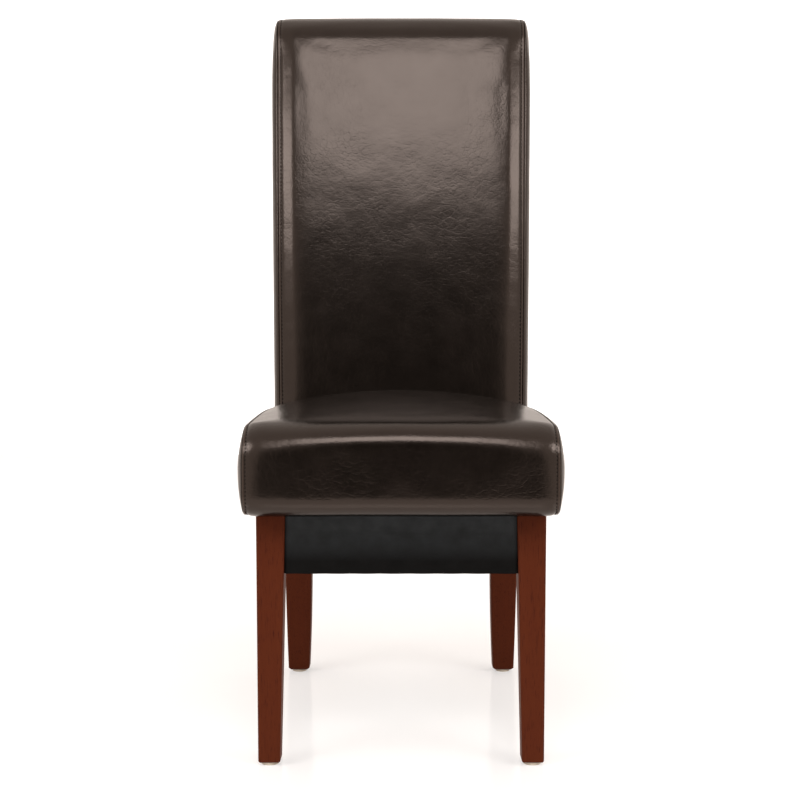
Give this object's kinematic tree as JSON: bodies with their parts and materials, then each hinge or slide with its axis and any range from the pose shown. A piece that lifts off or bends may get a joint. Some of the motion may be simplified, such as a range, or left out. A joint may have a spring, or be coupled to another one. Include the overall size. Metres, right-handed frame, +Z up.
{
  "type": "leather dining chair",
  "caption": "High-backed dining chair with a rolled back and thick overhanging seat in leather over foam, on a wooden frame with tapered legs.",
  "frame": {"origin": "on the floor under the middle of the chair's bounding box", "axes": "+Z up, +X towards the sitter's left, -Y towards the front"},
  "size_m": [0.4302, 0.6, 1.12],
  "materials": {
    "mahogany": "satin",
    "frame_wood": "matte",
    "hardboard": "matte",
    "leather": "gloss",
    "foam": "matte",
    "webbing": "matte",
    "black_cloth": "matte",
    "steel": "satin",
    "glide_plastic": "matte"
  },
  "bodies": {
    "root": {"front_leg_left": "mahogany", "front_leg_right": "mahogany", "rear_leg_left": "mahogany", "rear_leg_right": "mahogany", "front_rail": "frame_wood", "rear_rail": "frame_wood", "side_rail_left": "frame_wood", "side_rail_right": "frame_wood", "corner_block_front_left": "frame_wood", "corner_block_front_right": "frame_wood", "corner_block_rear_left": "frame_wood", "corner_block_rear_right": "frame_wood", "back_lower_rail": "frame_wood", "back_middle_rail": "frame_wood", "roll_rail": "frame_wood", "seat_frame_dowels": "frame_wood", "back_frame_dowels": "frame_wood", "rear_board": "hardboard", "seat_cover_top": "leather", "seat_cover_left": "leather", "seat_cover_right": "leather", "back_cover_front": "leather", "back_cover_rear": "leather", "back_cover_left": "leather", "back_cover_right": "leather", "seat_foam": "foam", "back_foam": "foam", "rear_wadding": "foam", "seat_webbing_across": "webbing", "seat_webbing_lengthwise": "webbing", "back_webbing": "webbing", "front_cloth": "black_cloth", "rear_cloth": "black_cloth", "side_cloth_left": "black_cloth", "side_cloth_right": "black_cloth", "dust_cover": "black_cloth", "leg_bolts": "steel", "bolt_washers": "steel", "block_screws": "steel", "glide_nails": "steel", "foot_glides": "glide_plastic"}
  },
  "joints": []
}
